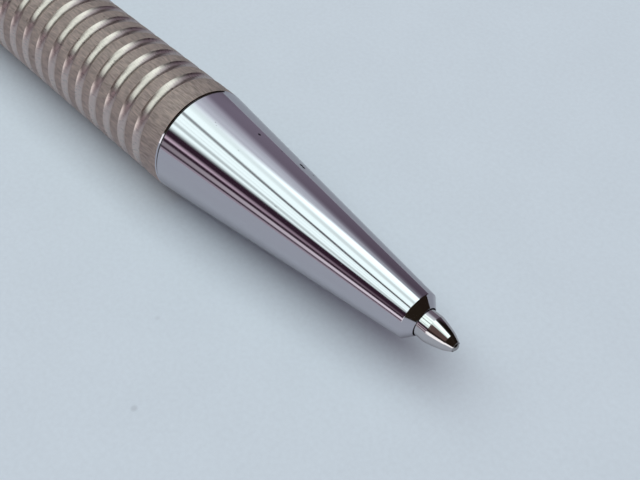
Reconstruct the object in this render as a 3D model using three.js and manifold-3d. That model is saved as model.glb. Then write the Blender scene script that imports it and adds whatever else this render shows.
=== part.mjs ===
// Twist-action ballpoint pen with a ringed metal barrel, lying on a table with its writing tip out.
// Millimetres, +Z up. The pen's axis runs along X and the writing tip points to +X.
// In the pen's own stations x = 0 is the joint between nose cone and barrel.
import * as THREE from "three";
import { mergeVertices } from "three/addons/utils/BufferGeometryUtils.js";
import Module from "manifold-3d";

// Driving dimensions: outer form
const barrelWall = 0.75;
const coneLength = 26.0;
const noseEdgeRadius = 2.14;
const chamferLength = 0.74;
const noseLip = 0.06;
const jointWidth = 0.12;
const jointBevel = 0.07;
const jointRecess = 0.12;
const edgeBevel = 0.12;

// Driving dimensions: grooves cut round the barrels
const grooveCount = 17;
const upperGrooveCount = 5;
const groovePitch = 2.16;
const grooveWidth = 1.06;
const grooveDepth = 0.15;
const firstLand = 2.82;

// Driving dimensions: refill
const refillLength = 98.0;
const refillRadius = 2.95;
const refillWall = 0.4;
const tipProtrusion = 3.36;
const tipRadius = 1.22;
const tipConeLength = 1.96;
const tipConeBulge = 0.03;
const tipShankRadius = 1.0;
const tipShankLength = 3.3;
const rimWall = 0.08;
const lipLength = 0.2;
const lipTaper = 0.08;
const lipHold = 0.018;
const ballRadius = 0.46;
const ballGap = 0.04;
const socketDepth = 0.4;
const feedRadius = 0.22;
const refillShoulder = 20.0;
const refillTaper = 4.0;
const springCollarWidth = 0.3;
const springCollarStep = 0.25;
const neckRadius = 1.5;
const neckLength = 2.9;
const neckRootLength = 4.0;
const inkBoreRadius = 0.5;
const plugRadius = 2.2;
const plugStandOut = 2.8;
const plugDepth = 3.0;
const plugBoreRadius = 0.5;
const inkRearVoid = 11.5;

// Driving dimensions: nose
const noseWall = 0.5;
const insertDepth = 6.0;
const insertSpigot = 9.0;
const tipGuideLength = 4.3;
const pocketLead = 0.5;
const pocketSlack = 0.7;
const springWire = 0.35;
const springTurns = 7;

// Driving dimensions: twist action
const twistAngle = THREE.MathUtils.degToRad(120);
const refillTravel = 5.2;
const sleeveWall = 0.42;
const sleeveInset = 2.6;
const sleeveTail = 0.9;
const followerBase = 6.5;
const followerPinInset = 3.4;
const followerPinRadius = 0.6;
const followerLip = 0.3;
const followerBevel = 0.25;
const camTubeLead = 7.0;
const camTubeLength = 20.0;
const camWall = 0.71;
const retainingRingWidth = 0.8;
const retainingRingStep = 0.5;
const retainingGrooveDepth = 0.14;
const couplingInset = 12.6;
const journalLength = 9.8;
const dragRingInset = 4.0;
const dragRingWidth = 1.1;
const dragRingDepth = 0.35;

// Driving dimensions: rear half
const centreRingWidth = 1.6;
const rearRoom = 4.9;
const housingLength = 7.5;
const housingSpigot = 5.0;
const finialLength = 3.8;
const finialDomeLength = 1.3;
const finialEndRadius = 3.6;
const finialNeckWidth = 0.3;
const finialNeckDepth = 0.35;
const studRadius = 1.5;
const studDepth = 8.5;
const studHead = 2.0;

// Driving dimensions: clip
const clipStandOff = 1.0;
const clipWidth = 3.6;
const clipTipWidth = 2.6;
const clipThickness = 0.9;
const clipReach = 38.0;
const clipTail = 2.2;
const clipBendLength = 6.0;
const clipPadLength = 3.0;
const clipFlare = 1.6;
const clipFlareRise = 0.9;
const clipLugWidth = 2.2;
const clipLugFront = 1.7;
const clipLugDrop = 1.0;
const clipPinRadius = 0.5;
const clipPinInset = 4.0;
const clipPinDepth = 1.3;
const slotFloorWall = 0.42;
const leafThickness = 0.22;
const leafOffset = 0.9;

// Clearances
const pressGap = 0.02;
const seatGap = 0.05;
const slideGap = 0.1;
const turnGap = 0.12;
const twistGap = 0.15;
const pinGap = 0.06;
const lugGap = 0.2;
const swingGap = 0.4;

// Facets: each round piece has a flat facet down, and its named radius is measured to the flats
const sides = 24;
const pinSides = 12;

// Radii that fit each other, from the refill outwards
const refillBore = refillRadius - refillWall;
const guideBore = refillRadius + slideGap;
const sleeveRadius = guideBore + sleeveWall;
const camBore = sleeveRadius + turnGap;
const camRadius = camBore + camWall;
const boreRadius = camRadius + seatGap;
const barrelRadius = boreRadius + barrelWall;
const spigotRadius = boreRadius - seatGap;
const journalRadius = boreRadius - turnGap;
const dragGrooveRadius = journalRadius - dragRingDepth;
const socketRadius = ballRadius + ballGap;
const rimRadius = socketRadius + rimWall;
const noseHoleRadius = tipRadius + slideGap;
const springRadius = neckRadius + slideGap + springWire / 2;
const pocketRadius = springRadius + springWire / 2 + seatGap;
const insertRadius = coneRadiusAt(insertDepth) - noseWall;

// Stations along the axis
const noseMouth = coneLength + chamferLength + noseLip;
const tipEnd = noseMouth + tipProtrusion;
const ballCentre = tipEnd - ballRadius;
const refillEnd = tipEnd - refillLength;
const tubeFront = tipEnd - refillShoulder;
const tubeRear = refillEnd + plugStandOut;
const springCollar = tubeFront + refillTaper + springCollarWidth;
const neckFront = springCollar + neckLength;
const tipGuide = noseMouth - tipGuideLength;
const coneRear = jointWidth / 2;
const barrelFront = -jointWidth / 2;
const barrelRear = barrelFront - 2 * firstLand - (grooveCount - 1) * groovePitch;
const centreRingRear = barrelRear - centreRingWidth;
const upperFront = centreRingRear - twistGap;
const cupFloor = refillEnd - seatGap;
const followerPin = cupFloor - followerPinInset;
const camFront = followerPin + camTubeLead;
const camRear = camFront - camTubeLength;
const retainingFront = camRear - twistGap;
const retainingRear = retainingFront - retainingRingWidth;
const sleeveRear = retainingRear - sleeveTail;
const upperRear = sleeveRear - rearRoom - housingSpigot;
const housingRear = upperRear - housingLength;
const penEnd = housingRear - finialLength;
const dragRingFront = centreRingRear - dragRingInset;
const clipPinStation = upperRear - clipPinInset;

// The clip, whose foot stands off the barrel
const clipInner = barrelRadius + clipStandOff;
const clipOuter = clipInner + clipThickness;
const clipPinHeight = barrelRadius - clipPinDepth;
const lugFoot = clipPinHeight - clipLugDrop;
const lugRear = clipPinStation - clipTail;
const lugFront = clipPinStation + clipLugFront;
const slotFloor = studRadius + slotFloorWall;

// The pen lies on its barrel and on the clip's lower edge, so the clip leans this far from straight down
const clipEdgeAngle = Math.atan2(clipWidth / 2, clipOuter);
const clipEdgeRadius = Math.hypot(clipWidth / 2, clipOuter);
const clipAngle = Math.acos((barrelRadius - pressGap) / clipEdgeRadius) + clipEdgeAngle;
const clipTurn = Math.PI - clipAngle;

function coneRadiusAt(station) {
  return barrelRadius + ((noseEdgeRadius - barrelRadius) * station) / coneLength;
}

const wasm = await Module();
wasm.setup();

const finishes = {
  polished: { color: 0xc9c9cf, roughness: 0.12, metalness: 1 },
  barrel: { color: 0x968d88, roughness: 0.42, metalness: 0.9 },
  brass: { color: 0xb99b55, roughness: 0.35, metalness: 1 },
  steel: { color: 0xa9abad, roughness: 0.3, metalness: 1 },
  rubber: { color: 0x161616, roughness: 0.8, metalness: 0 },
  plastic: { color: 0x3c4a63, roughness: 0.5, metalness: 0 },
  ink: { color: 0x14204a, roughness: 0.4, metalness: 0 },
};

function toManifold(geometry) {
  const bare = geometry.clone();
  bare.deleteAttribute("normal");
  bare.deleteAttribute("uv");
  const merged = mergeVertices(bare, 1e-4);
  return new wasm.Manifold(
    new wasm.Mesh({
      numProp: 3,
      vertProperties: new Float32Array(merged.attributes.position.array),
      triVerts: new Uint32Array(merged.index.array),
    }),
  );
}

function fromManifold(solid) {
  const mesh = solid.getMesh();
  const geometry = new THREE.BufferGeometry();
  geometry.setAttribute("position", new THREE.BufferAttribute(mesh.vertProperties, 3));
  geometry.setIndex(new THREE.BufferAttribute(mesh.triVerts, 1));
  geometry.computeVertexNormals();
  return geometry;
}

function cut(geometry, ...cutters) {
  return fromManifold(cutters.reduce((solid, cutter) => solid.subtract(toManifold(cutter)), toManifold(geometry)));
}

function join(...pieces) {
  return fromManifold(pieces.map(toManifold).reduce((sum, piece) => sum.add(piece)));
}

function piece(name, geometry, finish) {
  const mesh = new THREE.Mesh(geometry, new THREE.MeshStandardMaterial(finishes[finish]));
  mesh.name = name;
  return mesh;
}

// A closed outline of [station, radius] corners turned about the X axis, with the radii on the flats
function turned(corners) {
  const rise = 1 / Math.cos(Math.PI / sides);
  const outline = corners.map(([station, radius]) => new THREE.Vector2(radius * rise, station));
  const area = outline.reduce((sum, a, i) => {
    const b = outline[(i + 1) % outline.length];
    return sum + a.x * b.y - b.x * a.y;
  }, 0);
  if (area < 0) outline.reverse();
  const opensOnAxis = outline[0].x === 0 && outline[outline.length - 1].x === 0;
  if (!opensOnAxis) outline.push(outline[0].clone());
  return new THREE.LatheGeometry(outline, sides, Math.PI / sides).rotateZ(-Math.PI / 2);
}

// A plain tube between two stations
function tube(rear, front, inner, outer) {
  return turned([[rear, inner], [front, inner], [front, outer], [rear, outer]]);
}

// A rod along Y, with its radius on the flats
function rodAcross(radius, length) {
  const corner = radius / Math.cos(Math.PI / pinSides);
  return new THREE.CylinderGeometry(corner, corner, length, pinSides);
}

// A flat [x, z] outline with its thickness along Y, centred on Y = 0
function plate(points, width) {
  const shape = new THREE.Shape(points.map(([x, z]) => new THREE.Vector2(x, z)));
  const geometry = new THREE.ExtrudeGeometry(shape, { depth: width, bevelEnabled: false });
  return geometry.translate(0, 0, -width / 2).rotateX(Math.PI / 2);
}

// A closed skin through equal rings of points, with flat ends
function loft(rings) {
  const count = rings[0].length;
  const positions = rings.flat().flatMap((point) => point.toArray());
  const index = [];
  for (let i = 0; i + 1 < rings.length; i += 1) {
    for (let j = 0; j < count; j += 1) {
      const a = i * count + j;
      const b = i * count + ((j + 1) % count);
      index.push(a, b, b + count, a, b + count, a + count);
    }
  }
  const last = (rings.length - 1) * count;
  for (let j = 1; j + 1 < count; j += 1) {
    index.push(0, j + 1, j, last, last + j, last + j + 1);
  }
  const geometry = new THREE.BufferGeometry();
  geometry.setAttribute("position", new THREE.Float32BufferAttribute(positions, 3));
  geometry.setIndex(index);
  geometry.computeVertexNormals();
  return geometry;
}

// A point at a station, a radius and an angle from +Y towards +Z
function polar(station, radius, angle) {
  return new THREE.Vector3(station, radius * Math.cos(angle), radius * Math.sin(angle));
}

// Corners of V-shaped grooves, from the front land backwards
function grooveCorners(front, count) {
  return Array.from({ length: count }, (_, i) => front - firstLand - i * groovePitch).flatMap((centre) => [
    [centre + grooveWidth / 2, barrelRadius],
    [centre, barrelRadius - grooveDepth],
    [centre - grooveWidth / 2, barrelRadius],
  ]);
}

// A barrel tube with bevelled ends and grooves behind its front end
function ringedTube(front, rear, count, frontBevel) {
  return turned([
    [front, boreRadius],
    [front, barrelRadius - frontBevel],
    [front - frontBevel, barrelRadius],
    ...grooveCorners(front, count),
    [rear + edgeBevel, barrelRadius],
    [rear, barrelRadius - edgeBevel],
    [rear, boreRadius],
  ]);
}

// Nose
function noseCone() {
  const taperRear = tubeFront + pocketLead;
  return turned([
    [coneRear, insertRadius],
    [coneRear, coneRadiusAt(coneRear) - jointBevel],
    [coneRear + jointBevel, coneRadiusAt(coneRear + jointBevel)],
    [coneLength, noseEdgeRadius],
    [coneLength + chamferLength, noseHoleRadius + noseLip],
    [noseMouth, noseHoleRadius],
    [tipGuide, noseHoleRadius],
    [tipGuide, pocketRadius],
    [tubeFront + refillTaper + pocketLead + pocketSlack, pocketRadius],
    [taperRear, guideBore],
    [insertDepth + pressGap, guideBore],
    [insertDepth + pressGap, insertRadius],
  ]);
}

function noseSealRing() {
  return tube(barrelFront + pressGap, coneRear - pressGap, boreRadius, barrelRadius - jointRecess);
}

function noseInsert() {
  return turned([
    [-insertSpigot, guideBore],
    [insertDepth, guideBore],
    [insertDepth, insertRadius - pressGap],
    [coneRear - pressGap, insertRadius - pressGap],
    [coneRear - pressGap, spigotRadius],
    [edgeBevel - insertSpigot, spigotRadius],
    [-insertSpigot, spigotRadius - edgeBevel],
  ]);
}

// Least distance between stretches of a wire's centre line that lie half a turn or more apart, less the wire
function leastGap(points, halfTurn, wire) {
  let least = Infinity;
  points.forEach((point, i) => {
    points.slice(i + halfTurn).forEach((other) => {
      least = Math.min(least, point.distanceTo(other) - wire);
    });
  });
  return least;
}

// A coil of round wire between the refill's collar and the step in the nose
function returnSpring() {
  const stepsPerTurn = 8;
  const wireSides = 5;
  const rear = springCollar + seatGap + springWire / 2;
  const front = tipGuide - seatGap - springWire / 2;
  const pitch = (front - rear) / springTurns;
  const tilt = Math.atan(pitch / (2 * Math.PI * springRadius));
  const centres = [];
  const rings = [];
  for (let i = 0; i <= springTurns * stepsPerTurn; i += 1) {
    const angle = (2 * Math.PI * i) / stepsPerTurn;
    const centre = polar(rear + (pitch * i) / stepsPerTurn, springRadius, angle);
    const outward = polar(0, springWire / 2, angle);
    const rearward = polar(-Math.cos(tilt), Math.sin(tilt), angle + Math.PI / 2).multiplyScalar(springWire / 2);
    const ring = [];
    for (let j = 0; j < wireSides; j += 1) {
      const turn = (2 * Math.PI * j) / wireSides;
      ring.push(centre.clone().addScaledVector(outward, Math.cos(turn)).addScaledVector(rearward, Math.sin(turn)));
    }
    centres.push(centre);
    rings.push(ring);
  }
  const gap = leastGap(centres, stepsPerTurn / 2, springWire);
  console.log(`return_spring: least gap to itself ${gap.toFixed(2)} mm`);
  return loft(rings);
}

// Refill
function refillNeck() {
  return turned([
    [tubeFront - neckRootLength, inkBoreRadius],
    [tubeFront - neckRootLength, refillBore - pressGap],
    [tubeFront + pressGap, refillBore - pressGap],
    [tubeFront + pressGap, refillRadius],
    [tubeFront + refillTaper, neckRadius + springCollarStep],
    [springCollar, neckRadius + springCollarStep],
    [springCollar, neckRadius],
    [neckFront, neckRadius],
    [neckFront, tipShankRadius + pressGap],
    [neckFront - tipShankLength - pressGap, tipShankRadius + pressGap],
    [neckFront - tipShankLength - pressGap, inkBoreRadius],
  ]);
}

function writingTip() {
  const shoulder = ballCentre - tipConeLength;
  return turned([
    [neckFront - tipShankLength, feedRadius],
    [neckFront - tipShankLength, tipShankRadius],
    [neckFront + pressGap, tipShankRadius],
    [neckFront + pressGap, tipRadius],
    [shoulder, tipRadius],
    [shoulder + tipConeLength / 2, (tipRadius + rimRadius) / 2 + tipConeBulge],
    [ballCentre, rimRadius],
    [ballCentre + lipLength, rimRadius - lipTaper],
    [ballCentre + lipLength, ballRadius - lipHold],
    [ballCentre, socketRadius],
    [ballCentre - socketDepth, socketRadius],
    [ballCentre - socketDepth - feedRadius, feedRadius],
  ]);
}

function refillEndPlug() {
  return turned([
    [tubeRear + plugDepth, plugBoreRadius],
    [tubeRear + plugDepth, refillBore - pressGap],
    [tubeRear - pressGap, refillBore - pressGap],
    [tubeRear - pressGap, plugRadius],
    [refillEnd, plugRadius],
    [refillEnd, plugBoreRadius],
  ]);
}

function follower() {
  const outer = refillRadius + pressGap;
  const body = turned([
    [cupFloor - followerBase, 0],
    [cupFloor - followerBase, outer - followerBevel],
    [cupFloor - followerBase + followerBevel, outer],
    [tubeRear - followerLip, outer],
    [tubeRear - followerLip, plugRadius + seatGap],
    [cupFloor, plugRadius + seatGap],
    [cupFloor, 0],
  ]);
  const hole = rodAcross(followerPinRadius + pressGap, 4 * outer).translate(followerPin, 0, 0);
  return cut(body, hole);
}

function followerPinRod() {
  return rodAcross(followerPinRadius, 2 * journalRadius).translate(followerPin, 0, 0);
}

function inkColumn() {
  const rear = tubeRear + plugDepth + inkRearVoid;
  const front = tubeFront - neckRootLength - pressGap;
  return turned([[rear, 0], [rear, refillBore - seatGap], [front, refillBore - seatGap], [front, 0]]);
}

function writingBall() {
  return new THREE.SphereGeometry(ballRadius, 16, 10).rotateZ(-Math.PI / 2).translate(ballCentre, 0, 0);
}

// Twist action
function guideSleeve() {
  const body = turned([
    [barrelRear + sleeveInset, guideBore],
    [barrelRear + sleeveInset, sleeveRadius],
    [retainingFront + pressGap, sleeveRadius],
    [retainingFront + pressGap, sleeveRadius - retainingGrooveDepth],
    [retainingRear - pressGap, sleeveRadius - retainingGrooveDepth],
    [retainingRear - pressGap, sleeveRadius],
    [sleeveRear, sleeveRadius],
    [sleeveRear, guideBore],
  ]);
  const halfWidth = followerPinRadius + turnGap;
  const slot = new THREE.BoxGeometry(refillTravel + 2 * halfWidth, 4 * sleeveRadius, 2 * halfWidth);
  return cut(body, slot.translate(followerPin - refillTravel / 2, 0, 0));
}

function couplingBush() {
  const bore = sleeveRadius + pressGap;
  const front = barrelRear + couplingInset;
  const rear = centreRingRear - journalLength;
  return turned([
    [front, bore],
    [front, spigotRadius - edgeBevel],
    [front - edgeBevel, spigotRadius],
    [centreRingRear, spigotRadius],
    [centreRingRear, journalRadius],
    [dragRingFront, journalRadius],
    [dragRingFront, dragGrooveRadius],
    [dragRingFront - dragRingWidth, dragGrooveRadius],
    [dragRingFront - dragRingWidth, journalRadius],
    [rear, journalRadius],
    [rear, bore],
  ]);
}

function dragRing() {
  const front = dragRingFront - pressGap;
  const rear = dragRingFront - dragRingWidth + pressGap;
  return tube(rear, front, dragGrooveRadius + pressGap, spigotRadius);
}

function centreRing() {
  return turned([
    [barrelRear - pressGap, boreRadius],
    [barrelRear - pressGap, barrelRadius - edgeBevel],
    [barrelRear - pressGap - edgeBevel, barrelRadius],
    [centreRingRear + edgeBevel, barrelRadius],
    [centreRingRear, barrelRadius - edgeBevel],
    [centreRingRear, boreRadius],
  ]);
}

function retainingRing() {
  const inner = sleeveRadius - retainingGrooveDepth + pressGap;
  return tube(retainingRear, retainingFront, inner, sleeveRadius + retainingRingStep);
}

// A cutter for one helical slot, which the follower's pin runs along as the tube turns round it
function helicalCutter(startAngle) {
  const rise = refillTravel / twistAngle;
  const reach = followerPinRadius + turnGap;
  const halfWidth = reach / Math.cos(Math.atan(rise / camBore));
  const margin = Math.asin(reach / camBore);
  const sweep = twistAngle + 2 * margin;
  const steps = Math.ceil(sweep / ((2 * Math.PI) / sides));
  const rings = Array.from({ length: steps + 1 }, (_, i) => {
    const turn = -margin + (sweep * i) / steps;
    const centre = followerPin - rise * turn;
    const angle = startAngle + turn;
    return [
      polar(centre - halfWidth, camBore / 2, angle),
      polar(centre + halfWidth, camBore / 2, angle),
      polar(centre + halfWidth, 2 * camBore, angle),
      polar(centre - halfWidth, 2 * camBore, angle),
    ];
  });
  return loft(rings);
}

function camTube() {
  const body = tube(camRear, camFront, camBore, camRadius);
  return cut(body, helicalCutter(0), helicalCutter(Math.PI));
}

// Rear end and clip: the clip stands up along +Z, and a turn of clipTurn about the axis brings it to its place
function endHousing() {
  const front = upperRear - pressGap;
  const body = turned([
    [upperRear + housingSpigot, studRadius + pressGap],
    [upperRear + housingSpigot, spigotRadius],
    [front, spigotRadius],
    [front, barrelRadius - edgeBevel],
    [front - edgeBevel, barrelRadius],
    [housingRear + edgeBevel, barrelRadius],
    [housingRear, barrelRadius - edgeBevel],
    [housingRear, studRadius + pressGap],
  ]);
  const slotLength = lugFront - lugRear + 2 * swingGap;
  const slot = new THREE.BoxGeometry(slotLength, clipLugWidth + 2 * lugGap, 2 * barrelRadius);
  slot.translate((lugFront + lugRear) / 2, 0, slotFloor + barrelRadius);
  const hole = rodAcross(clipPinRadius + pressGap, 4 * barrelRadius).translate(clipPinStation, 0, clipPinHeight);
  return cut(body, slot.rotateX(clipTurn), hole.rotateX(clipTurn));
}

function finial() {
  const bore = studRadius + pressGap;
  const seat = housingRear - pressGap;
  const domeFront = penEnd + finialDomeLength;
  const holeEnd = penEnd + studHead - seatGap;
  return turned([
    [penEnd, 0],
    [penEnd, finialEndRadius],
    [penEnd + finialDomeLength / 4, (finialEndRadius + barrelRadius) / 2],
    [domeFront, barrelRadius - edgeBevel],
    [seat - finialNeckWidth - edgeBevel, barrelRadius],
    [seat - finialNeckWidth, barrelRadius - edgeBevel],
    [seat - finialNeckWidth, barrelRadius - finialNeckDepth],
    [seat, barrelRadius - finialNeckDepth],
    [seat, bore],
    [holeEnd, bore],
    [holeEnd, 0],
  ]);
}

function finialScrew() {
  const rear = penEnd + studHead;
  const front = housingRear + studDepth;
  return turned([
    [rear, 0],
    [rear, studRadius - edgeBevel],
    [rear + edgeBevel, studRadius],
    [front - edgeBevel, studRadius],
    [front, studRadius - edgeBevel],
    [front, 0],
  ]);
}

function clipArm() {
  const front = clipPinStation + clipReach;
  const pad = barrelRadius / Math.cos(Math.PI / sides) + slideGap;
  const padFront = front - clipFlare;
  const padRear = padFront - clipPadLength;
  const bend = padRear - clipBendLength;
  const arm = plate(
    [
      [lugRear, clipInner],
      [bend, clipInner],
      [padRear, pad],
      [padFront, pad],
      [front, pad + clipFlareRise],
      [front, pad + clipFlareRise + clipThickness / 2],
      [padFront, pad + clipThickness],
      [padRear, pad + clipThickness],
      [bend, clipOuter],
      [lugRear + clipThickness / 2, clipOuter],
      [lugRear, clipOuter - clipThickness / 2],
    ],
    clipWidth,
  );
  const narrowing = (1 - clipTipWidth / clipWidth) / clipReach;
  const place = arm.attributes.position;
  for (let i = 0; i < place.count; i += 1) {
    const share = 1 - narrowing * Math.max(0, place.getX(i) - clipPinStation);
    place.setY(i, place.getY(i) * share);
  }
  return arm;
}

function clip() {
  const inArm = clipInner + clipThickness / 2;
  const lug = plate(
    [
      [lugRear, lugFoot + clipLugDrop / 2],
      [lugRear + clipLugDrop / 2, lugFoot],
      [clipPinStation + clipLugFront / 2, lugFoot],
      [lugFront, clipPinHeight],
      [lugFront, inArm],
      [lugRear + clipThickness / 2, inArm],
      [lugRear, clipInner],
    ],
    clipLugWidth,
  );
  const hole = rodAcross(clipPinRadius + pinGap, 2 * clipWidth).translate(clipPinStation, 0, clipPinHeight);
  return cut(join(clipArm(), lug), hole);
}

function clipPin() {
  const halfChord = Math.sqrt(barrelRadius ** 2 - (clipPinHeight + clipPinRadius) ** 2);
  return rodAcross(clipPinRadius, 2 * (halfChord - slideGap)).translate(clipPinStation, 0, clipPinHeight);
}

// A bowed strip that lies on the slot's floor and holds up the clip's tail
function clipLeafSpring() {
  const crown = lugFoot - seatGap - leafThickness;
  const foot = slotFloor + pressGap;
  const middle = clipPinStation - leafOffset;
  const halfLength = middle - (lugRear - swingGap + lugGap);
  const steps = 8;
  const lower = [];
  for (let i = 0; i <= steps; i += 1) {
    const share = (2 * i) / steps - 1;
    lower.push([middle + halfLength * share, foot + (crown - foot) * (1 - share ** 2)]);
  }
  const upper = lower.map(([x, z]) => [x, z + leafThickness]).reverse();
  return plate([...lower, ...upper], clipLugWidth);
}

// Assembly
const frontHalf = new THREE.Group();
frontHalf.add(
  piece("nose_cone", noseCone(), "polished"),
  piece("nose_insert", noseInsert(), "brass"),
  piece("nose_seal_ring", noseSealRing(), "rubber"),
  piece("lower_barrel", ringedTube(barrelFront, barrelRear, grooveCount, jointBevel), "barrel"),
  piece("coupling_bush", couplingBush(), "brass"),
  piece("centre_ring", centreRing(), "polished"),
  piece("guide_sleeve", guideSleeve(), "brass"),
  piece("drag_ring", dragRing(), "rubber"),
  piece("retaining_ring", retainingRing(), "steel"),
  piece("return_spring", returnSpring(), "steel"),
);

const refill = new THREE.Group();
refill.add(
  piece("refill_tube", tube(tubeRear, tubeFront, refillBore, refillRadius), "steel"),
  piece("refill_neck", refillNeck(), "brass"),
  piece("writing_tip", writingTip(), "steel"),
  piece("ink_column", inkColumn(), "ink"),
  piece("refill_end_plug", refillEndPlug(), "plastic"),
  piece("follower", follower(), "brass"),
  piece("follower_pin", followerPinRod(), "steel"),
  piece("writing_ball", writingBall(), "steel"),
);

const rearHalf = new THREE.Group();
rearHalf.add(
  piece("upper_barrel", ringedTube(upperFront, upperRear, upperGrooveCount, edgeBevel), "barrel"),
  piece("cam_tube", camTube(), "brass"),
  piece("finial_screw", finialScrew(), "steel"),
  piece("finial", finial(), "polished"),
  piece("end_housing", endHousing(), "polished"),
);

const clipSide = new THREE.Group();
clipSide.add(
  piece("clip_pin", clipPin(), "steel"),
  piece("clip_leaf_spring", clipLeafSpring(), "steel"),
  piece("clip", clip(), "polished"),
);
clipSide.rotation.x = clipTurn;
rearHalf.add(clipSide);

// The origin is at the middle of the pen's footprint on the table
const pen = new THREE.Group();
pen.add(frontHalf, refill, rearHalf);
pen.updateMatrixWorld(true);
const extent = new THREE.Box3().setFromObject(pen, true);
const middle = extent.getCenter(new THREE.Vector3());
pen.position.set(-middle.x, -middle.y, -extent.min.z);

export default pen;
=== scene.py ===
"""Dresses a twist-action ballpoint pen.

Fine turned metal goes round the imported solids, with its finishes, a desk and soft light.
"""

import logging
import math
from dataclasses import dataclass, replace
from enum import Enum
from typing import Union

import bmesh
import bpy
import numpy as np
from mathutils import Matrix, Vector


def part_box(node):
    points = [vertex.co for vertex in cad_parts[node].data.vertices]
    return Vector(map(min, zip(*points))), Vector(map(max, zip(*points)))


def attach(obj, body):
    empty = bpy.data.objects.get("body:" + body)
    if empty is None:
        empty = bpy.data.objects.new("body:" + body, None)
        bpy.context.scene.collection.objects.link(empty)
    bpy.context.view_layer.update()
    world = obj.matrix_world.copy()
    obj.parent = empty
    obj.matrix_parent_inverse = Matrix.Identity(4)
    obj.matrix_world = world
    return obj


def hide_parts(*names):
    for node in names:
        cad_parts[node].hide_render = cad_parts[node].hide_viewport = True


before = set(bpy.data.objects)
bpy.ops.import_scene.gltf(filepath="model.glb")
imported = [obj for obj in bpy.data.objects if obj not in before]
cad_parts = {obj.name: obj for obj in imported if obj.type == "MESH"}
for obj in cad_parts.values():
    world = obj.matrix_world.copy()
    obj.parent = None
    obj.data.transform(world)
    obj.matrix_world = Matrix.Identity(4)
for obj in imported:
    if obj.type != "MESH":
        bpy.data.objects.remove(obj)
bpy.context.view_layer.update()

LOG = logging.getLogger("pen")
MM = 0.001

ROUND_STEPS = 160
POINT_STEPS = 96
BALL_STEPS = 72
ROD_STEPS = 48
STRAP_STEPS = 24
FILLET_STEPS = 5
HOLD_SHARE = 0.35
SMALLEST_TURN = 1e-6
SHORTEST_STEP = 1e-5
MERGE_DISTANCE = 1e-7
SHORTEST_EDGE = 1e-8
SHARP_EDGE = math.radians(28)

OBJECT_COORDINATES = 3
WORLD_DIRECTION = 0
VECTOR_LENGTH = 1
CELL_COLOUR = 1
MIXED_COLOUR = 2
CELL_PICK_EDGE = 0.01

Colour = tuple[float, float, float]
Pair = tuple[float, float]
Stretch = tuple[float, float, float, float]
Knock = tuple[float, float, float, float, float]
Input = Union["Signal", float, Colour]


class Signal:
    """A node's output socket that can be used in Python sums."""

    def __init__(self, bench: "Bench", socket: bpy.types.NodeSocket) -> None:
        """Keeps the socket and the bench that its sums are built on."""
        self.bench = bench
        self.socket = socket

    def _sum(self, operation: str, first: Input, second: Input) -> "Signal":
        """Adds one Math node."""
        return self.bench.add("ShaderNodeMath", {"operation": operation}, {0: first, 1: second})

    def __add__(self, other: Input) -> "Signal":
        """This plus other."""
        return self._sum("ADD", self, other)

    def __radd__(self, other: float) -> "Signal":
        """A number plus this."""
        return self._sum("ADD", other, self)

    def __sub__(self, other: Input) -> "Signal":
        """This minus other."""
        return self._sum("SUBTRACT", self, other)

    def __rsub__(self, other: float) -> "Signal":
        """A number minus this."""
        return self._sum("SUBTRACT", other, self)

    def __mul__(self, other: Input) -> "Signal":
        """This times other."""
        return self._sum("MULTIPLY", self, other)

    def __rmul__(self, other: float) -> "Signal":
        """A number times this."""
        return self._sum("MULTIPLY", other, self)

    def over(self, low: Input, high: Input) -> "Signal":
        """A smooth step from 0 at low to 1 at high."""
        settings = {"interpolation_type": "SMOOTHSTEP"}
        return self.bench.add("ShaderNodeMapRange", settings, {0: self, 1: low, 2: high, 3: 0.0, 4: 1.0})


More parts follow.
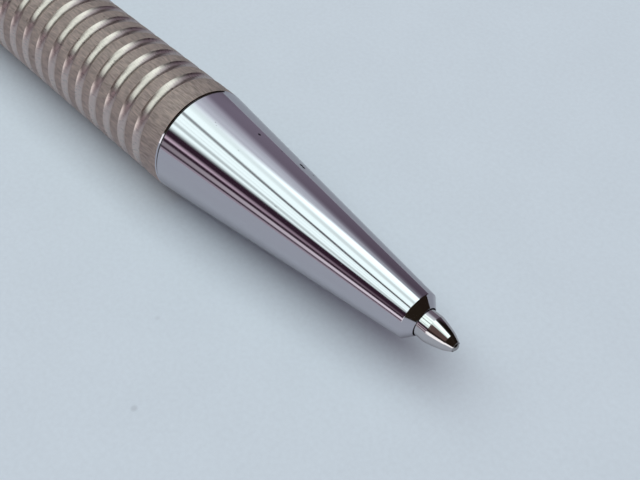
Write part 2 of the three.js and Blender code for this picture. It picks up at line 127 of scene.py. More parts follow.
class Bench:
    """A node tree that nodes are added to and wired on."""

    def __init__(self, tree: bpy.types.NodeTree) -> None:
        """Clears the tree."""
        self.tree = tree
        tree.nodes.clear()

    def add(
        self, kind: str, settings: dict | None = None, inputs: dict | None = None, output: int = 0
    ) -> Signal:
        """Adds a node, sets it up and wires it.

        Args:
            kind: the node's type name.
            settings: its own properties; "stops" are a colour ramp's (place, colour) pairs.
            inputs: a value or a signal for each socket, by name or number.
            output: the number of the socket that is handed back.

        Returns:
            The node's output.
        """
        node = self.tree.nodes.new(kind)
        for key, value in (settings or {}).items():
            if key == "stops":
                self._set_stops(node.color_ramp, value)
            else:
                setattr(node, key, value)
        for key, value in (inputs or {}).items():
            if isinstance(value, Signal):
                self.tree.links.new(value.socket, node.inputs[key])
            elif isinstance(value, tuple) and node.inputs[key].type == "RGBA":
                node.inputs[key].default_value = (*value, 1.0)
            else:
                node.inputs[key].default_value = value
        return Signal(self, node.outputs[output] if node.outputs else None)

    @staticmethod
    def _set_stops(ramp: bpy.types.ColorRamp, stops: list[tuple[float, Colour]]) -> None:
        """Writes a colour ramp's stops, in order."""
        while len(ramp.elements) > 1:
            ramp.elements.remove(ramp.elements[-1])
        ramp.elements[0].position = stops[0][0]
        ramp.elements[0].color = (*stops[0][1], 1.0)
        for place, colour in stops[1:]:
            ramp.elements.new(place).color = (*colour, 1.0)

    def outputs(self, kind: str, inputs: dict | None = None) -> dict[str, Signal]:
        """Adds a node and hands back all its outputs by name."""
        node = self.add(kind, None, inputs).socket.node
        return {socket.name: Signal(self, socket) for socket in node.outputs}

    def blend(self, share: Input, low: Input, high: Input) -> Signal:
        """Mixes two colours, in the Mix node's sockets 6 and 7, by a share from 0 to 1."""
        return self.add("ShaderNodeMix", {"data_type": "RGBA"}, {0: share, 6: low, 7: high}, MIXED_COLOUR)

    def vector(self, operation: str, inputs: dict, output: int = 0) -> Signal:
        """Adds one Vector Math node."""
        return self.add("ShaderNodeVectorMath", {"operation": operation}, inputs, output)

    def noise(self, place: Signal, scale: float) -> Signal:
        """Soft noise, from 0 to 1."""
        return self.add("ShaderNodeTexNoise", None, {"Vector": place, "Scale": scale, "Detail": 3.0})

    def dots(self, place: Signal, scale: float, size: Pair, share: float) -> Signal:
        """Round dots in some of the cells of a Voronoi pattern.

        Args:
            place: the place on the surface.
            scale: the pattern's scale.
            size: how far from its middle a dot starts to fade and where it ends, as shares of a cell.
            share: the share of the cells that have a dot.

        Returns:
            1 in the middle of each dot and 0 off them.
        """
        cells = {"Vector": place, "Scale": scale}
        dot = 1.0 - self.add("ShaderNodeTexVoronoi", None, cells).over(*size)
        pick = self.add("ShaderNodeTexVoronoi", None, cells, CELL_COLOUR)
        chance = self.add("ShaderNodeSeparateColor", None, {0: pick})
        return dot * (1.0 - chance.over(share, share + CELL_PICK_EDGE))


class Grain(Enum):
    """Which way a finish's marks run, as the stretch of their pattern along X, Y and Z."""

    ALONG = (0.06, 1.0, 1.0)
    BRUSHED = (0.07, 1.0, 1.0)
    AROUND = (1.0, 0.04, 0.04)
    EVEN = (1.0, 1.0, 1.0)


@dataclass(frozen=True)
class Scar:
    """A knock mark in the finish, painted dark: the knock is real wear, and its darkness is painted shade.

    It has its middle and its half sizes along the pen and across it, in millimetres, and its depth, which is
    how dark it is, from 0 to 1. Fade has the share of its size where it starts to fade and where it ends.
    """

    x: float
    y: float
    z: float
    along: float
    across: float
    depth: float
    fade: Pair = (0.5, 1.0)

    def mask(self, bench: Bench, place: Signal) -> Signal:
        """How dark the mark makes the surface.

        Args:
            bench: the finish's node tree.
            place: the place on the surface.

        Returns:
            The depth in the mark's middle and 0 outside it.
        """
        middle = (self.x * MM, self.y * MM, self.z * MM)
        shrink = (1 / (self.along * MM), 1 / (self.across * MM), 1 / (self.across * MM))
        off = bench.vector("SUBTRACT", {0: place, 1: middle})
        scaled = bench.vector("MULTIPLY", {0: off, 1: shrink})
        far = bench.vector("LENGTH", {0: scaled}, VECTOR_LENGTH)
        return (1.0 - far.over(*self.fade)) * self.depth


@dataclass(frozen=True)
class Finish:
    """A surface finish with fine marks, wiped patches, small nicks and scars.

    Marks are noise stretched by the grain. They shift the colour and the roughness and raise the surface a
    little, and a contrast above 1 sharpens them. Patches are wide soft noise that shifts the roughness only.
    Nicks are given as the share of a pattern's cells that have one.
    """

    name: str
    colour: Colour
    metallic: float
    roughness: float
    grain: Grain
    marks_per_mm: float
    colour_change: float
    roughness_change: float
    relief_mm: float
    nicks: float = 0.0
    contrast: float = 1.0
    scars: tuple[Scar, ...] = ()
    patch_scale: float = 420.0
    nick_scale: float = 520.0
    nick_size: Pair = (0.03, 0.09)
    nick_dimming: float = 0.7
    nick_roughness: float = 0.4
    nick_depth: float = 6.0
    # Painted shade: the near-black matt colour mixed into the knock marks
    scar_shade: Colour = (0.004, 0.004, 0.008)

    def material(self) -> bpy.types.Material:
        """Makes the finish's material on Object coordinates, the first time it is asked for.

        Returns:
            The material.
        """
        made = bpy.data.materials.get(self.name)
        if made:
            return made
        made = bpy.data.materials.new(self.name)
        made.use_nodes = True
        bench = Bench(made.node_tree)
        place = bench.add("ShaderNodeTexCoord", output=OBJECT_COORDINATES)
        marks = self._marks(bench, place)
        patches = bench.noise(place, self.patch_scale)
        nicks = bench.dots(place, self.nick_scale, self.nick_size, self.nicks)
        shade = 1.0 + self.colour_change * (marks * 2.0 - 1.0) - nicks * self.nick_dimming
        colour = bench.vector("SCALE", {0: self.colour, "Scale": shade})
        rough = self.roughness + self.roughness_change * (marks + patches - 1.0) + nicks * self.nick_roughness
        height = marks - nicks * self.nick_depth
        relief = {"Strength": 1.0, "Distance": self.relief_mm * MM, "Height": height}
        normal = bench.add("ShaderNodeBump", None, relief)
        metal = {"Base Color": colour, "Roughness": rough, "Normal": normal, "Metallic": self.metallic}
        surface = bench.add("ShaderNodeBsdfPrincipled", None, metal)
        if self.scars:
            surface = self._scarred(bench, place, surface)
        bench.add("ShaderNodeOutputMaterial", None, {"Surface": surface})
        return made

    def _scarred(self, bench: Bench, place: Signal, surface: Signal) -> Signal:
        """Mixes a near-black matt shader into a surface where it has scars, as painted shade in the knock
        marks.

        Args:
            bench: the finish's node tree.
            place: the place on the surface.
            surface: the shader without the scars.

        Returns:
            The shader with them.
        """
        # Painted shade: a near-black matt shader that makes the knock marks dark from every side
        scar_shade = bench.add("ShaderNodeBsdfDiffuse", None, {"Color": self.scar_shade})
        dark: Input = 0.0
        for scar in self.scars:
            dark = dark + scar.mask(bench, place)
        return bench.add("ShaderNodeMixShader", None, {0: dark, 1: surface, 2: scar_shade})

    def _marks(self, bench: Bench, place: Signal) -> Signal:
        """Fine marks that run along the grain.

        Args:
            bench: the finish's node tree.
            place: the place on the surface.

        Returns:
            The marks, from 0 to 1.
        """
        stretch = tuple(share * self.marks_per_mm / MM for share in self.grain.value)
        along = bench.add("ShaderNodeMapping", None, {"Vector": place, "Scale": stretch})
        pattern = {"Vector": along, "Scale": 1.0, "Detail": 4.0, "Roughness": 0.6}
        marks = bench.add("ShaderNodeTexNoise", None, pattern)
        if self.contrast <= 1:
            return marks
        half = 0.5 / self.contrast
        return marks.over(0.5 - half, 0.5 + half)


@dataclass(frozen=True)
class RecordFinish:
    """One of the record's own plain materials, used as it came with the solids."""

    name: str

    def material(self) -> bpy.types.Material:
        """The material."""
        return bpy.data.materials[self.name]


CHROME = Finish(
    name="polished_chrome",
    colour=(0.66, 0.62, 0.67),
    metallic=1.0,
    roughness=0.07,
    grain=Grain.ALONG,
    marks_per_mm=9.0,
    colour_change=0.02,
    roughness_change=0.03,
    relief_mm=0.00004,
    nicks=0.3,
)
SATIN = Finish(
    name="satin_barrel",
    colour=(0.520, 0.426, 0.398),
    metallic=0.90,
    roughness=0.78,
    grain=Grain.BRUSHED,
    marks_per_mm=17.0,
    colour_change=0.36,
    roughness_change=0.06,
    relief_mm=0.003,
    nicks=0.5,
    contrast=3.0,
)
GROOVE = Finish(
    name="polished_groove",
    colour=(0.68, 0.565, 0.53),
    metallic=1.0,
    roughness=0.30,
    grain=Grain.ALONG,
    marks_per_mm=9.0,
    colour_change=0.12,
    roughness_change=0.08,
    relief_mm=0.0005,
    nicks=0.3,
    contrast=2.0,
)

# These have their values in the same order: name, colour, metallic, roughness, grain and so on
TIP_METAL = Finish("tip_metal", (0.70, 0.655, 0.665), 1.0, 0.08, Grain.AROUND, 14.0, 0.04, 0.04, 0.0001)
BALL_METAL = Finish("ball_metal", (0.46, 0.44, 0.44), 1.0, 0.10, Grain.EVEN, 20.0, 0.05, 0.03, 0.0001)
BRASS = Finish("machined_brass", (0.73, 0.58, 0.30), 1.0, 0.28, Grain.AROUND, 8.0, 0.06, 0.08, 0.0006)
SPRING_STEEL = Finish("drawn_steel", (0.60, 0.60, 0.61), 1.0, 0.25, Grain.ALONG, 10.0, 0.08, 0.08, 0.0004)

REFILL_METAL = RecordFinish("refill_metal")
RUBBER = RecordFinish("black_rubber")
BLUE_PLASTIC = RecordFinish("blue_plastic")
INK = RecordFinish("ink_paste")


@dataclass(frozen=True)
class Axle:
    """A line that pieces are turned about.

    Its origin is in metres, and stations and radii are in millimetres.
    """

    origin: Vector
    along: Vector
    out: Vector

    def station(self, x: float) -> float:
        """The station of a place along X, on an axle that runs along X."""
        return (x - self.origin.x) / MM

    def place(self, station: np.ndarray, radius: np.ndarray, angle: np.ndarray) -> np.ndarray:
        """Points at stations, radii and angles from the out direction.

        Formula: origin + station * along + radius * (cos(angle) * out + sin(angle) * (along x out)).
        """
        return self.offset(station, radius * np.cos(angle), radius * np.sin(angle))

    def offset(self, station: np.ndarray, height: np.ndarray, across: np.ndarray) -> np.ndarray:
        """Points at stations, heights in the out direction and distances across it.

        Formula: origin + station * along + height * out + across * (along x out).
        """
        directions = (self.along, self.out, self.along.cross(self.out))
        parts = zip(np.broadcast_arrays(station, height, across), directions)
        return np.array(self.origin) + sum(part[..., None] * MM * np.array(way) for part, way in parts)


def pen_axle() -> Axle:
    """Finds the pen's own axle.

    Returns:
        The axle, its line from the barrel's box and its start from the ring in the seam.
    """
    low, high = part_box("lower_barrel")
    ring_low, ring_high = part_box("nose_seal_ring")
    start = Vector(((ring_low.x + ring_high.x) / 2, (low.y + high.y) / 2, (low.z + high.z) / 2))
    return Axle(start, Vector((1.0, 0.0, 0.0)), Vector((0.0, 0.0, 1.0)))


def clip_axle(pen: Axle) -> Axle:
    """Turns the pen's axle towards the clip.

    Args:
        pen: the pen's axle.

    Returns:
        The same axle with its out direction towards the clip's pin.
    """
    low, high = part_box("clip_pin")
    out = (low + high) / 2 - pen.origin
    out.x = 0.0
    return Axle(pen.origin, pen.along, out.normalized())


PEN = pen_axle()
CLIP_SIDE = clip_axle(PEN)


def node_ends(node: str) -> Pair:
    """The stations of a node's rear and front ends."""
    low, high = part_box(node)
    return PEN.station(low.x), PEN.station(high.x)


def unit(vectors: np.ndarray) -> np.ndarray:
    """Vectors scaled to length 1."""
    return vectors / np.maximum(np.linalg.norm(vectors, axis=-1, keepdims=True), 1e-12)


def rounded_outline(rows: np.ndarray, closed: bool) -> tuple[np.ndarray, np.ndarray]:
    """Rounds an outline's corners.

    Formula: each corner becomes an arc of its fillet radius that touches both sides, as steps along the turn
    between the two touching points, with one more point a little way along each side to hold the sides flat.

    Args:
        rows: one corner each: station, radius, fillet and the finish of the stretch after it.
        closed: whether the last corner joins the first.

    Returns:
        The points, and the finish of the stretch after each.
    """
    corner, fillet, finish = rows[:, :2], rows[:, 2], rows[:, 3].astype(int)
    back = unit(np.roll(corner, 1, axis=0) - corner)
    ahead = unit(np.roll(corner, -1, axis=0) - corner)
    turn = np.arccos(np.clip(-(back * ahead).sum(axis=1), -1.0, 1.0))
    if not closed:
        fillet = np.where(np.isin(np.arange(len(rows)), (0, len(rows) - 1)), 0.0, fillet)
    setback = fillet * np.tan(turn / 2)
    hub = corner + unit(back + ahead) * (fillet / np.cos(turn / 2))[:, None]
    first = corner + back * setback[:, None] - hub
    last = corner + ahead * setback[:, None] - hub
    share = np.linspace(0.0, 1.0, FILLET_STEPS + 1)[None, :, None]
    swing = np.maximum(turn, SMALLEST_TURN)[:, None, None]
    arc = np.sin((1 - share) * swing) * first[:, None] + np.sin(share * swing) * last[:, None]
    arc = hub[:, None] + arc / np.sin(swing)
    hold = (setback + HOLD_SHARE * fillet)[:, None]
    points = np.concatenate([(corner + back * hold)[:, None], arc, (corner + ahead * hold)[:, None]], axis=1)
    finishes = np.repeat(finish[:, None], points.shape[1], axis=1)
    finishes[:, 0] = np.roll(finish, 1)
    points, finishes = points.reshape(-1, 2), finishes.reshape(-1)
    step = np.linalg.norm(points - np.roll(points, -1, axis=0), axis=1)
    step[-1] = step[-1] if closed else 1.0
    kept = step > SHORTEST_STEP
    return points[kept], finishes[kept]


def outline_rows(station: np.ndarray, radius: np.ndarray, finish: np.ndarray | float = 0.0) -> np.ndarray:
    """An outline's corners without fillets, as rounded_outline takes them."""
    return np.stack(np.broadcast_arrays(station, radius, 0.0, finish), axis=-1).reshape(-1, 4)


def mesh_piece(name: str, points: np.ndarray, faces: np.ndarray, finish_ids: np.ndarray) -> bpy.types.Object:
    """Makes an object of points and faces, closed at its seams and facing outwards.

    Args:
        name: the object's name.
        points: places in metres.
        faces: four point numbers each.
        finish_ids: each face's material slot.

    Returns:
        The object, with smooth faces and sharp edges where it turns by more than SHARP_EDGE.
    """
    mesh = bpy.data.meshes.new(name)
    mesh.from_pydata(points, [], faces)
    mesh.polygons.foreach_set("material_index", finish_ids.astype(np.int32))
    tidy_mesh(mesh)
    piece = bpy.data.objects.new(name, mesh)
    bpy.context.scene.collection.objects.link(piece)
    return piece


def tidy_mesh(mesh: bpy.types.Mesh) -> None:
    """Merges doubled points, turns the faces outwards and sets smooth faces with sharp edges.

    Args:
        mesh: the mesh that is changed.
    """
    work = bmesh.new()
    work.from_mesh(mesh)
    bmesh.ops.remove_doubles(work, verts=work.verts, dist=MERGE_DISTANCE)
    bmesh.ops.dissolve_degenerate(work, edges=work.edges, dist=SHORTEST_EDGE)
    bmesh.ops.recalc_face_normals(work, faces=work.faces)
    work.to_mesh(mesh)
    work.free()
    mesh.shade_smooth()
    mesh.set_sharp_from_angle(angle=SHARP_EDGE)
    mesh.update()


def grid_faces(rows: int, columns: int, rows_close: bool, columns_close: bool) -> np.ndarray:
    """Numbers the corners of the faces over a grid of points.

    Formula: point (i, j) has the number i * columns + j, and a face joins it to the next ones in j and in i.

    Args:
        rows: how many rows the grid has.
        columns: how many points each row has.
        rows_close: whether the last row joins the first.
        columns_close: whether each row's last point joins its first.

    Returns:
        Four point numbers for each face.
    """
    i = np.arange(rows if rows_close else rows - 1)[:, None]
    j = np.arange(columns if columns_close else columns - 1)[None, :]
    below, right = (i + 1) % rows, (j + 1) % columns
    corners = [i * columns + j, i * columns + right, below * columns + right, below * columns + j]
    return np.stack(np.broadcast_arrays(*corners), axis=-1).reshape(-1, 4)


def turned_piece(
    name: str, rows: list | np.ndarray, closed: bool = True, steps: int = ROUND_STEPS, axle: Axle = PEN
) -> bpy.types.Object:
    """Turns an outline about an axle.

    Formula: point (i, j) lies at the outline's point i, at angle 2 pi j / steps.

    Args:
        name: the object's name.
        rows: the outline's corners, as rounded_outline takes them.
        closed: whether the outline closes on itself, or starts and ends on the axis.
        steps: how many steps go round.
        axle: the line that it is turned about.

    Returns:
        The object.
    """
    points, finishes = rounded_outline(np.array(rows, float), closed)
    angles = 2 * np.pi * np.arange(steps) / steps
    grid = axle.place(points[:, :1], points[:, 1:], angles[None, :])
    faces = grid_faces(len(points), steps, closed, True)
    ids = np.repeat(finishes[: len(faces) // steps], steps)
    return mesh_piece(name, grid.reshape(-1, 3), faces, ids)


def rod_piece(name: str, reach: float, radius: float, axle: Axle, fillet: float = 0.0) -> bpy.types.Object:
    """Makes a rod that reaches equally far both ways from its axle's origin.

    Args:
        name: the object's name.
        reach: half the rod's length.
        radius: its radius.
        axle: the line that it lies on.
        fillet: the radius of its rounded ends.

    Returns:
        The object.
    """
    rows = [[-reach, 0, 0, 0], [-reach, radius, fillet, 0], [reach, radius, fillet, 0], [reach, 0, 0, 0]]
    return turned_piece(name, rows, False, ROD_STEPS, axle)


class Combining(Enum):
    """What is done with the other mesh when two are combined."""

    JOIN = "UNION"
    CUT = "DIFFERENCE"


def combine(piece: bpy.types.Object, other: bpy.types.Object, combining: Combining) -> None:
    """Joins another closed mesh to a piece or cuts it away, and removes the other one.

    Args:
        piece: the piece that is changed.
        other: the mesh that is used up.
        combining: whether it is joined or cut away.
    """
    change = piece.modifiers.new("combine", "BOOLEAN")
    change.operation = combining.value
    change.solver = "EXACT"
    change.object = other
    evaluated = piece.evaluated_get(bpy.context.evaluated_depsgraph_get())
    mesh = bpy.data.meshes.new_from_object(evaluated)
    piece.modifiers.remove(change)
    piece.data = mesh
    bpy.data.objects.remove(other)
    tidy_mesh(mesh)


def strap_piece(
    name: str, rows: list | np.ndarray, half_width: float, taper: "Taper", edge: float, crown: float
) -> bpy.types.Object:
    """Sweeps a side outline across the clip, with rounded edges and a crowned outer face.

    Formula: with t from -1 to 1 across, a point lies at t * half width * taper(station), on the outline moved
    inwards by edge * (1 - sqrt(1 - e^2)), where e is how far t is into the rounded edge, and its height is
    lowered by crown * t^2.

    Args:
        name: the object's name.
        rows: the side outline's corners, as rounded_outline takes them, with heights for radii.
        half_width: half the width at the widest place.
        taper: how the width changes along the strap.
        edge: the radius of the rounded edges.
        crown: how far the edges lie below the middle.

    Returns:
        The object.
    """
    points, _ = rounded_outline(np.array(rows, float), True)
    along = unit(np.roll(points, -1, axis=0) - np.roll(points, 1, axis=0))
    inwards = np.stack([-along[:, 1], along[:, 0]], axis=1)
    inwards *= np.sign(outline_area(points))
    share = np.sin(np.linspace(-np.pi / 2, np.pi / 2, STRAP_STEPS + 1))
    reach = np.clip((np.abs(share) * half_width - half_width + edge) / edge, 0.0, 1.0)
    inset = edge * (1 - np.sqrt(1 - reach**2))
    moved = points[None] + inwards[None] * inset[:, None, None]
    height = moved[..., 1] - crown * share[:, None] ** 2
    across = share[:, None] * half_width * taper.at(moved[..., 0])
    grid = CLIP_SIDE.offset(moved[..., 0], height, across)
    faces = [tuple(face) for face in grid_faces(*grid.shape[:2], False, True).tolist()]
    count = len(points)
    first = (len(share) - 1) * count
    faces += [tuple(range(count)), tuple(range(first, first + count))]
    return mesh_piece(name, grid.reshape(-1, 3), faces, np.zeros(len(faces)))


def outline_area(points: np.ndarray) -> float:
    """The area inside a closed outline, above zero where it runs anticlockwise.

    Formula: half the sum of x * next y - next x * y.
    """
    ahead = np.roll(points, -1, axis=0)
    return float((points[:, 0] * ahead[:, 1] - ahead[:, 0] * points[:, 1]).sum() / 2)


@dataclass(frozen=True)
class Taper:
    """A width that narrows evenly towards the front."""

    start: float = 0.0
    length: float = 1.0
    end_share: float = 1.0

    def at(self, station: np.ndarray) -> np.ndarray:
        """The share of the width left at each station.

        Formula: 1 - (1 - end share) * how far the station is along the length, and 1 behind the start.
        """
        return 1 - (1 - self.end_share) * np.clip((station - self.start) / self.length, 0.0, None)


def dress(
    piece: bpy.types.Object, body: str, slot: str, replaced: str, *finishes: Finish | RecordFinish
) -> None:
    """Gives a piece all that makes it part of the pen.

    Args:
        piece: the piece.
        body: the body that it moves with.
        slot: the record's material slot; not used.
        replaced: the node that it stands for.
        finishes: one finish for each of its material slots.
    """
    for finish in finishes:
        piece.data.materials.append(finish.material())
    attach(piece, body)
    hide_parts(replaced)
    LOG.info("%s: %d faces", piece.name, len(piece.data.polygons))


@dataclass(frozen=True)
class Fit:
    """Radii that several pieces share, in millimetres."""

    barrel: float = 5.1
    bore: float = 4.35
    guide_bore: float = 3.05


FIT = Fit()


@dataclass(frozen=True)
class NoseCone:
    """The polished nose: a straight cone with a bevelled mouth, and the ring in the seam behind it."""

    length: float = 26.0
    mouth_edge: float = 2.14
    bevel: float = 0.74
    hole: float = 1.32
    lip: float = 0.06
    joint_width: float = 0.12
    joint_recess: float = 0.12
    joint_bevel: float = 0.07
    knocks: tuple[Knock, ...] = (
        (6.01, 23.5, 0.20, 0.16, 0.9),
        (10.27, 40.8, 0.22, 0.22, 1.0),
        (10.58, 40.6, 0.22, 0.20, 1.0),
        (8.40, 31.0, 0.14, 0.10, 0.35),
        (2.95, -4.8, 0.12, 0.06, 0.25),
        (3.24, -6.6, 0.08, 0.05, 0.3),
        (6.39, -11.5, 0.09, 0.06, 0.3),
        (12.22, -34.2, 0.24, 0.05, 0.3),
        (13.28, -21.5, 0.22, 0.05, 0.25),
        (15.61, -49.7, 0.10, 0.06, 0.4),
    )
    press_gap: float = 0.02
    insert_depth: float = 6.0
    wall: float = 0.5
    guide_length: float = 4.3
    pocket: float = 2.0
    pocket_rear: float = 15.36
    taper_rear: float = 10.66
    fine_fillet: float = 0.02
    mouth_fillet: float = 0.06
    ring_fillet: float = 0.03
    cone_nicks: float = 0.08

    def radius_at(self, station: float) -> float:
        """The cone's radius at a station."""
        return FIT.barrel + (self.mouth_edge - FIT.barrel) * station / self.length

    def worn_chrome(self) -> Finish:
        """Puts the knocks on the cone's chrome, as scars whose darkness is painted shade.

        Each knock is a station, an angle in degrees from the top towards +Y, its half sizes along the pen and
        across it, and its depth.

        Returns:
            The cone's finish.
        """
        scars = []
        for station, angle, along, across, depth in self.knocks:
            turn = math.radians(angle)
            radius = self.radius_at(station)
            y = PEN.origin.y / MM + radius * math.sin(turn)
            z = PEN.origin.z / MM + radius * math.cos(turn)
            scars.append(Scar(PEN.origin.x / MM + station, y, z, along, across, depth))
        return replace(CHROME, name="worn_chrome", nicks=self.cone_nicks, scars=tuple(scars))

    def build(self) -> None:
        """Makes the cone and the seam's ring."""
        rear = self.joint_width / 2
        edge = self.length + self.bevel
        mouth = edge + self.lip
        seat = self.radius_at(self.insert_depth) - self.wall
        floor = self.insert_depth + self.press_gap
        guide = mouth - self.guide_length
        fine = self.fine_fillet
        cone = [
            [rear, seat, 0, 0],
            [rear, self.radius_at(rear) - self.joint_bevel, fine, 0],
            [rear + self.joint_bevel, self.radius_at(rear + self.joint_bevel), fine, 0],
            [self.length, self.mouth_edge, self.mouth_fillet, 0],
            [edge, self.hole + self.lip, fine, 0],
            [mouth, self.hole, fine, 0],
            [guide, self.hole, 0, 0],
            [guide, self.pocket, 0, 0],
            [self.pocket_rear, self.pocket, 0, 0],
            [self.taper_rear, FIT.guide_bore, 0, 0],
            [floor, FIT.guide_bore, 0, 0],
            [floor, seat, 0, 0],
        ]
        shell = turned_piece("nose_cone_shell", cone)
        dress(shell, "front_half", "polished_steel", "nose_cone", self.worn_chrome())
        outer = FIT.barrel - self.joint_recess
        front = rear - self.press_gap
        ring = [
            [-front, FIT.bore, 0, 0],
            [front, FIT.bore, 0, 0],
            [front, outer, self.ring_fillet, 0],
            [-front, outer, self.ring_fillet, 0],
        ]
        dress(turned_piece("seam_ring", ring), "front_half", "black_rubber", "nose_seal_ring", RUBBER)


@dataclass(frozen=True)
class RingedBarrel:
    """A satin tube with hollow polished grooves round it.

    Its material slots are the land's satin, the grooves' polish and the front bevel's chrome.
    """

    name: str
    node: str
    body: str
    grooves: int
    pitch: float = 2.16
    width: float = 1.06
    depth: float = 0.15
    first_land: float = 2.82
    front_bevel: float = 0.1
    arc_steps: int = 12
    front_fillet: float = 0.02
    rear_fillet: float = 0.09

    def groove_rows(self, front: float) -> np.ndarray:
        """Works out the grooves' corners.

        Formula: a circular arc through both edges and the deepest point, its angle stepping evenly.

        Args:
            front: the station of the barrel's front end.

        Returns:
            The corners from the front backwards, as rounded_outline takes them.
        """
        half = self.width / 2
        bend = (half**2 + self.depth**2) / (2 * self.depth)
        angle = np.linspace(1, -1, self.arc_steps + 1) * math.asin(half / bend)
        centre = front - self.first_land - self.pitch * np.arange(self.grooves)
        station = centre[:, None] + bend * np.sin(angle)
        radius = FIT.barrel - self.depth + bend * (1 - np.cos(angle))
        return outline_rows(station, radius, np.where(np.arange(self.arc_steps + 1) < self.arc_steps, 1, 0))

    def build(self) -> None:
        """Makes the barrel between the ends of its node's box."""
        rear, front = node_ends(self.node)
        head = [
            [front, FIT.bore, 0, 1],
            [front, FIT.barrel - self.front_bevel, self.front_fillet, 2],
            [front - self.front_bevel, FIT.barrel, self.front_fillet, 0],
        ]
        tail = [[rear, FIT.barrel, self.rear_fillet, 0], [rear, FIT.bore, 0, 0]]
        piece = turned_piece(self.name, np.concatenate([head, self.groove_rows(front), tail]))
        dress(piece, self.body, "brushed_barrel", self.node, SATIN, GROOVE, CHROME)


@dataclass(frozen=True)
class WritingPoint:
    """The refill's point: a collar, a slightly bulging cone and the ball in its rim."""

    collar: float = 1.22
    cone_length: float = 1.96
    bulge: float = 0.03
    ball: float = 0.46
    ball_gap: float = 0.04
    rim_wall: float = 0.08
    crimp_length: float = 0.38
    crimp_step: float = 0.21
    lip_length: float = 0.26
    lip_taper: float = 0.125
    lip_hold: float = 0.018
    socket_depth: float = 0.4
    feed: float = 0.22
    shank: float = 1.0
    shank_length: float = 3.28
    collar_gap: float = 0.04
    collar_fillet: float = 0.05
    shoulder_fillet: float = 0.12
    rim_fillet: float = 0.05
    lip_fillet: float = 0.03

    def cone_rows(self, centre: float, rim: float) -> np.ndarray:
        """Works out the cone from its shoulder to the crimped rim.

        Formula: a straight taper plus bulge * 4 s (1 - s), with s from 0 to 1 along it.

        Args:
            centre: the station of the ball's middle.
            rim: the radius of the rim round the ball.

        Returns:
            The corners, as rounded_outline takes them.
        """
        share = np.linspace(0, 1, 13)
        end = centre - self.crimp_length
        station = end - (self.cone_length - self.crimp_length) * (1 - share)
        taper = self.collar + (rim + self.crimp_step - self.collar) * share
        rows = outline_rows(station, taper + self.bulge * 4 * share * (1 - share))
        rows[0, 2] = self.shoulder_fillet
        rows[-1, 2] = self.rim_fillet
        return rows

    def build(self) -> None:
        """Makes the point and its ball."""
        low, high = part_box("writing_ball")
        centre = PEN.station((low.x + high.x) / 2)
        rear = node_ends("writing_tip")[0]
        socket = self.ball + self.ball_gap
        rim = socket + self.rim_wall
        lip = centre + self.lip_length
        collar_rear = rear + self.shank_length + self.collar_gap
        head = [
            [rear, self.feed, 0, 0],
            [rear, self.shank, self.collar_fillet, 0],
            [collar_rear, self.shank, 0, 0],
            [collar_rear, self.collar, self.collar_fillet, 0],
        ]
        tail = [
            [lip, rim - self.lip_taper, self.lip_fillet, 0],
            [lip, self.ball - self.lip_hold, 0, 0],
            [centre, socket, 0, 0],
            [centre - self.socket_depth, socket, 0, 0],
            [centre - self.socket_depth - self.feed, self.feed, 0, 0],
        ]
        rows = np.concatenate([head, self.cone_rows(centre, rim), tail])
        point = turned_piece("writing_point", rows, steps=POINT_STEPS)
        dress(point, "refill", "tip_steel", "writing_tip", TIP_METAL)
        self.build_ball(centre)

    def build_ball(self, centre: float) -> None:
        """Makes the ball.

        Formula: station = centre - r cos(a), radius = r sin(a), with a from 0 to pi.

        Args:
            centre: the station of its middle.
        """
        angle = np.linspace(0, np.pi, 41)
        rows = outline_rows(centre - self.ball * np.cos(angle), self.ball * np.sin(angle))
        ball = turned_piece("point_ball", rows, closed=False, steps=BALL_STEPS)
        dress(ball, "ball", "ball_steel", "writing_ball", BALL_METAL)


@dataclass(frozen=True)
class CentreRing:
    """The plain polished ring between the two barrels."""

    fillet: float = 0.14

    def build(self) -> None:
        """Makes the ring between the ends of its node's box."""
        rear, front = node_ends("centre_ring")
        rows = [
            [front, FIT.bore, 0, 0],
            [front, FIT.barrel, self.fillet, 0],
            [rear, FIT.barrel, self.fillet, 0],
            [rear, FIT.bore, 0, 0],
        ]
        dress(turned_piece("centre_band", rows), "front_half", "polished_steel", "centre_ring", CHROME)


